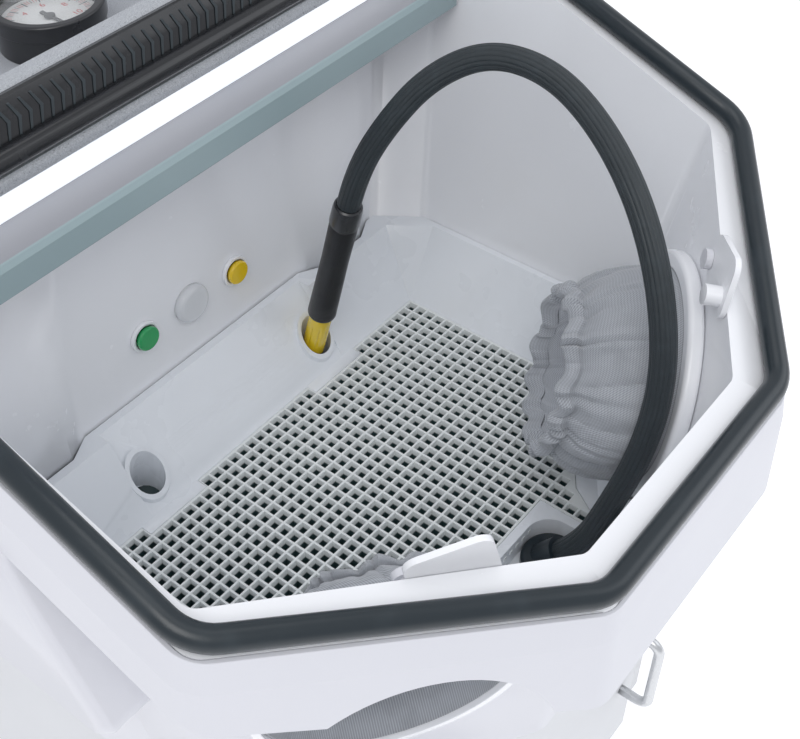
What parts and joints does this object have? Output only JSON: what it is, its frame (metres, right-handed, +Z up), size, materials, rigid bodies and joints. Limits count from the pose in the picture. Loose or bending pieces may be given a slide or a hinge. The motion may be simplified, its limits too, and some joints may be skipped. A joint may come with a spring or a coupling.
{
  "type": "parts washer",
  "caption": "Free-standing sink-style parts washer: sloping white tub with glove ports, lift-out grid, flow-through brush on a hose, hinged hood and a wheeled cabinet.",
  "frame": {"origin": "centre of the bounding box at floor level, hood open", "axes": "+Z up, the operator stands at -Y, +X to the operator's right"},
  "size_m": [0.758, 0.9619, 1.9035],
  "materials": {
    "shell": "satin white moulding",
    "liner": "gloss white liner",
    "tray": "satin pale grey",
    "grid": "satin off-white",
    "seal": "satin black rubber",
    "rear_seal": "gloss black rubber",
    "console": "fine speckled grey",
    "housing": "satin light grey",
    "lamp": "frosted white",
    "steel": "brushed",
    "zinc": "bright zinc",
    "cabinet": "powder coat",
    "reservoir": "translucent polyethylene look",
    "pump": "moulded black",
    "hose": "braided black",
    "grip": "textured black",
    "ferrule": "gloss yellow",
    "bristle": "nylon",
    "sleeve": "light grey twill",
    "green": "gloss",
    "yellow": "gloss",
    "bezel": "gloss black",
    "lens": "clear lens",
    "dial": "printed white",
    "glass": "clear",
    "needle": "matt black",
    "wheel": "grey rubber tread",
    "window": "clear polycarbonate"
  },
  "bodies": {
    "frame": {"base_cabinet": "cabinet", "door_hinge_pins": "steel", "fluid_reservoir": "reservoir", "pump": "pump", "supply_pipe": "steel", "filter_canister": "pump", "drain_pipe": "reservoir", "castor_plates": "zinc", "tub_shell": "shell", "wash_chamber": "liner", "body_shell": "shell", "left_side_panel": "shell", "right_side_panel": "shell", "rim_seal": "seal", "rear_console": "console", "rear_seal": "rear_seal", "light_housing": "housing", "lamp_diffuser": "lamp", "trim_strip": "console", "tray": "tray", "hose_grommet": "seal", "hose": "hose", "brush_grip": "grip", "brush_ferrule": "ferrule", "brush_bristles": "bristle", "left_port_ring": "liner", "right_port_ring": "liner", "left_sleeve": "sleeve", "right_sleeve": "sleeve", "latch_studs": "shell", "button_bezels": "bezel", "switch_bodies": "pump", "indicator_lens": "lens", "gauge_case": "bezel", "gauge_dial": "dial", "gauge_glass": "glass", "gauge_bezel": "bezel", "hinge_brackets": "steel", "hinge_pins": "zinc"},
    "grid": {"grid": "grid"},
    "hood": {"hood_shell": "shell", "hood_window": "window", "hood_window_frame": "seal", "hood_handle": "bezel"},
    "door": {"cabinet_door": "cabinet", "cabinet_door_handle": "zinc"},
    "needle": {"gauge_needle": "needle"},
    "green_button": {"green_button": "green"},
    "yellow_button": {"yellow_button": "yellow"},
    "left_latch": {"left_port_latch": "liner"},
    "right_latch": {"right_port_latch": "liner"},
    "front_left_fork": {"front_left_castor_fork": "zinc"},
    "front_left_wheel": {"front_left_castor_wheel": "wheel"},
    "front_right_fork": {"front_right_castor_fork": "zinc"},
    "front_right_wheel": {"front_right_castor_wheel": "wheel"},
    "rear_left_fork": {"rear_left_castor_fork": "zinc"},
    "rear_left_wheel": {"rear_left_castor_wheel": "wheel"},
    "rear_right_fork": {"rear_right_castor_fork": "zinc"},
    "rear_right_wheel": {"rear_right_castor_wheel": "wheel"}
  },
  "joints": [
    {"name": "hood_hinge", "type": "hinge", "parent": "frame", "child": "hood", "pos_m": [0, 0.2749, 1.092], "axis": [1, 0, 0], "range_deg": [0, 95]},
    {"name": "door_hinge", "type": "hinge", "parent": "frame", "child": "door", "pos_m": [-0.196, -0.3676, 0.33], "axis": [0, 0, -1], "range_deg": [0, 110]},
    {"name": "grid_lift", "type": "slide", "parent": "frame", "child": "grid", "axis": [0, 0, 1], "range_m": [0, 0.04]},
    {"name": "needle_swing", "type": "hinge", "parent": "frame", "child": "needle", "pos_m": [0.003, 0.2179, 1.015], "axis": [0, 0, 1], "range_deg": [-120, 120]},
    {"name": "green_button_press", "type": "slide", "parent": "frame", "child": "green_button", "axis": [0, 1, 0], "range_m": [0, 0.004], "stiffness_N_per_m": 400},
    {"name": "yellow_button_press", "type": "slide", "parent": "frame", "child": "yellow_button", "axis": [0, 1, 0], "range_m": [0, 0.004], "stiffness_N_per_m": 400},
    {"name": "left_latch_turn", "type": "hinge", "parent": "frame", "child": "left_latch", "pos_m": [-0.21516, -0.35902, 0.88204], "axis": [-0.5767, -0.7983, -0.1736], "range_deg": [0, 35]},
    {"name": "right_latch_turn", "type": "hinge", "parent": "frame", "child": "right_latch", "pos_m": [0.21516, -0.35902, 0.88204], "axis": [-0.5767, 0.7983, 0.1736], "range_deg": [0, 35]},
    {"name": "front_left_swivel", "type": "hinge", "parent": "frame", "child": "front_left_fork", "pos_m": [-0.245, -0.2951, 0.1], "axis": [0, 0, 1], "continuous": true},
    {"name": "front_left_roll", "type": "hinge", "parent": "front_left_fork", "child": "front_left_wheel", "pos_m": [-0.245, -0.2701, 0.04], "axis": [1, 0, 0], "continuous": true},
    {"name": "front_right_swivel", "type": "hinge", "parent": "frame", "child": "front_right_fork", "pos_m": [0.245, -0.2951, 0.1], "axis": [0, 0, 1], "continuous": true},
    {"name": "front_right_roll", "type": "hinge", "parent": "front_right_fork", "child": "front_right_wheel", "pos_m": [0.245, -0.2701, 0.04], "axis": [1, 0, 0], "continuous": true},
    {"name": "rear_left_swivel", "type": "hinge", "parent": "frame", "child": "rear_left_fork", "pos_m": [-0.245, 0.2149, 0.1], "axis": [0, 0, 1], "continuous": true},
    {"name": "rear_left_roll", "type": "hinge", "parent": "rear_left_fork", "child": "rear_left_wheel", "pos_m": [-0.245, 0.2399, 0.04], "axis": [1, 0, 0], "continuous": true},
    {"name": "rear_right_swivel", "type": "hinge", "parent": "frame", "child": "rear_right_fork", "pos_m": [0.245, 0.2149, 0.1], "axis": [0, 0, 1], "continuous": true},
    {"name": "rear_right_roll", "type": "hinge", "parent": "rear_right_fork", "child": "rear_right_wheel", "pos_m": [0.245, 0.2399, 0.04], "axis": [1, 0, 0], "continuous": true}
  ]
}
